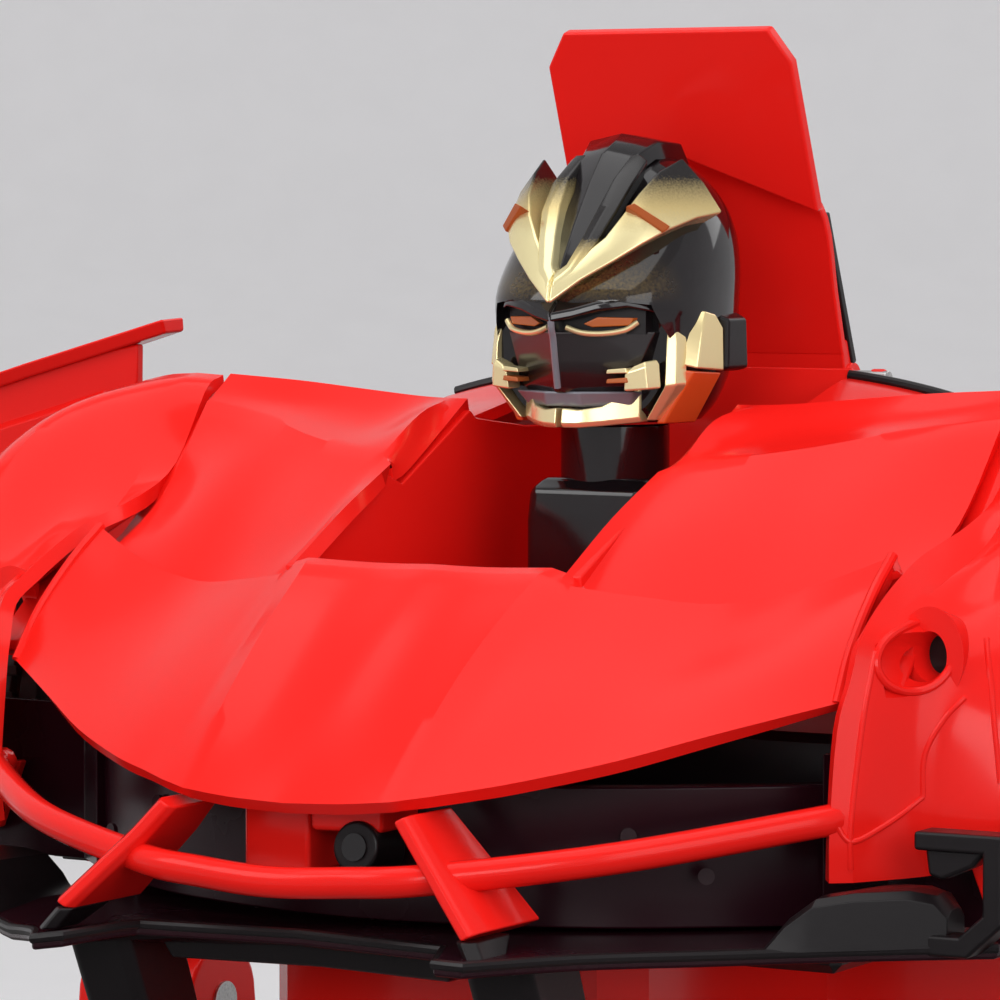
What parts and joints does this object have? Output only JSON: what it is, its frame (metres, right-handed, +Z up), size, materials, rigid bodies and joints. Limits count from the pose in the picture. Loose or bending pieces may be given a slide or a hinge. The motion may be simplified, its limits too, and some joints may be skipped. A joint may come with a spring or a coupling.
{
  "type": "transforming robot car",
  "caption": "Battery toy car that folds into a standing robot: car nose as chest, masked head on a lifting neck, hinged roof panel, doors, arms, legs and rolling wheels.",
  "frame": {"origin": "centre of the whole figure's box, on the surface that its soles stand on", "axes": "+Z up, the robot faces -Y, its left side is +X"},
  "size_m": [0.225, 0.1312, 0.266],
  "materials": {
    "red_shell": "glossy moulded red ABS",
    "black_frame": "satin black ABS",
    "gloss_black": "high gloss black ABS",
    "gold_trim": "gold metallic paint on ABS",
    "amber_lens": "orange translucent plastic",
    "steel": "drawn steel rod",
    "gear_white": "natural acetal",
    "tyre": "soft black rubber",
    "rim": "grey metallic plastic",
    "battery_wrap": "blue shrink wrap"
  },
  "bodies": {
    "pelvis": {"waist_frame": "black_frame", "hip_shaft": "steel", "waist_shaft": "steel", "transform_motor": "steel"},
    "pinion": {"drive_pinion": "gear_white"},
    "chest": {"hood_shell": "red_shell", "left_fender": "red_shell", "right_fender": "red_shell", "nose_bar": "red_shell", "left_nose_fin": "red_shell", "right_nose_fin": "red_shell", "front_splitter": "black_frame", "left_splitter_blister": "gloss_black", "right_splitter_blister": "gloss_black", "grille_backing": "black_frame", "cockpit_tub": "red_shell", "rear_deck": "red_shell", "chassis_frame": "black_frame", "back_housing": "black_frame", "battery_pack": "battery_wrap", "battery_cover": "black_frame", "front_axle": "steel", "shoulder_bar": "steel", "waist_gear": "gear_white", "left_waist_strut": "black_frame", "right_waist_strut": "black_frame", "belly_shell": "red_shell", "roof_hinge_pin": "steel"},
    "power_switch": {"power_switch": "gloss_black"},
    "neck": {"neck_post": "black_frame"},
    "head": {"helmet": "gloss_black", "face_mask": "gloss_black", "eye_lens": "amber_lens", "crest": "gold_trim", "left_cheek_guard": "gold_trim", "right_cheek_guard": "gold_trim", "chin_guard": "gold_trim"},
    "roof": {"roof_panel": "red_shell", "roof_liner": "black_frame"},
    "left_upper_arm": {"left_upper_arm": "red_shell"},
    "left_forearm": {"left_forearm": "red_shell"},
    "left_door": {"left_door": "red_shell"},
    "left_thigh": {"left_thigh": "black_frame"},
    "left_shin": {"left_shin": "red_shell", "left_foot": "black_frame"},
    "left_front_wheel": {"left_front_tyre": "tyre", "left_front_rim": "rim"},
    "left_rear_wheel": {"left_rear_tyre": "tyre", "left_rear_rim": "rim"},
    "right_upper_arm": {"right_upper_arm": "red_shell"},
    "right_forearm": {"right_forearm": "red_shell"},
    "right_door": {"right_door": "red_shell"},
    "right_thigh": {"right_thigh": "black_frame"},
    "right_shin": {"right_shin": "red_shell", "right_foot": "black_frame"},
    "right_front_wheel": {"right_front_tyre": "tyre", "right_front_rim": "rim"},
    "right_rear_wheel": {"right_rear_tyre": "tyre", "right_rear_rim": "rim"}
  },
  "joints": [
    {"name": "waist_fold", "type": "hinge", "parent": "pelvis", "child": "chest", "pos_m": [0, 0.0394, 0.15], "axis": [1, 0, 0], "range_deg": [-75, 0]},
    {"name": "pinion_turn", "type": "hinge", "parent": "pelvis", "child": "pinion", "pos_m": [0, 0.0394, 0.135], "axis": [1, 0, 0], "range_deg": [-1, 226]},
    {"name": "neck_slide", "type": "slide", "parent": "chest", "child": "neck", "axis": [0, 0, 1], "range_m": [-0.026, 0]},
    {"name": "head_turn", "type": "hinge", "parent": "neck", "child": "head", "pos_m": [0, 0.0154, 0.219], "axis": [0, 0, 1], "range_deg": [-60, 60]},
    {"name": "roof_fold", "type": "hinge", "parent": "chest", "child": "roof", "pos_m": [0, 0.0474, 0.2236], "axis": [1, 0, 0], "range_deg": [-50, 3]},
    {"name": "switch_slide", "type": "slide", "parent": "chest", "child": "power_switch", "axis": [0, 0, 1], "range_m": [0, 0.004]},
    {"name": "left_shoulder", "type": "hinge", "parent": "chest", "child": "left_upper_arm", "pos_m": [0.086, 0.0489, 0.196], "axis": [1, 0, 0], "range_deg": [-100, 10]},
    {"name": "left_elbow", "type": "hinge", "parent": "left_upper_arm", "child": "left_forearm", "pos_m": [0.086, 0.0489, 0.14], "axis": [1, 0, 0], "range_deg": [-100, 0]},
    {"name": "left_door_lift", "type": "hinge", "parent": "left_upper_arm", "child": "left_door", "pos_m": [0.086, 0.0274, 0.2], "axis": [0, -1, 0], "range_deg": [-10, 25]},
    {"name": "left_hip", "type": "hinge", "parent": "pelvis", "child": "left_thigh", "pos_m": [0.031, 0.0254, 0.112], "axis": [1, 0, 0], "range_deg": [-50, 20]},
    {"name": "left_knee", "type": "hinge", "parent": "left_thigh", "child": "left_shin", "pos_m": [0.031, 0.0254, 0.066], "axis": [1, 0, 0], "range_deg": [0, 70]},
    {"name": "left_front_wheel_spin", "type": "hinge", "parent": "chest", "child": "left_front_wheel", "pos_m": [0.0622, 0.0044, 0.183], "axis": [1, 0, 0], "continuous": true},
    {"name": "left_rear_wheel_spin", "type": "hinge", "parent": "left_shin", "child": "left_rear_wheel", "pos_m": [0.0555, 0.0394, 0.034], "axis": [1, 0, 0], "continuous": true},
    {"name": "right_shoulder", "type": "hinge", "parent": "chest", "child": "right_upper_arm", "pos_m": [-0.086, 0.0489, 0.196], "axis": [1, 0, 0], "range_deg": [-100, 10]},
    {"name": "right_elbow", "type": "hinge", "parent": "right_upper_arm", "child": "right_forearm", "pos_m": [-0.086, 0.0489, 0.14], "axis": [1, 0, 0], "range_deg": [-100, 0]},
    {"name": "right_door_lift", "type": "hinge", "parent": "right_upper_arm", "child": "right_door", "pos_m": [-0.086, 0.0274, 0.2], "axis": [0, 1, 0], "range_deg": [-10, 25]},
    {"name": "right_hip", "type": "hinge", "parent": "pelvis", "child": "right_thigh", "pos_m": [-0.031, 0.0254, 0.112], "axis": [1, 0, 0], "range_deg": [-50, 20]},
    {"name": "right_knee", "type": "hinge", "parent": "right_thigh", "child": "right_shin", "pos_m": [-0.031, 0.0254, 0.066], "axis": [1, 0, 0], "range_deg": [0, 70]},
    {"name": "right_front_wheel_spin", "type": "hinge", "parent": "chest", "child": "right_front_wheel", "pos_m": [-0.0622, 0.0044, 0.183], "axis": [1, 0, 0], "continuous": true},
    {"name": "right_rear_wheel_spin", "type": "hinge", "parent": "right_shin", "child": "right_rear_wheel", "pos_m": [-0.0555, 0.0394, 0.034], "axis": [1, 0, 0], "continuous": true}
  ],
  "couplings": [
    {"joint": "pinion_turn", "follows": "waist_fold", "ratio": -3}
  ]
}
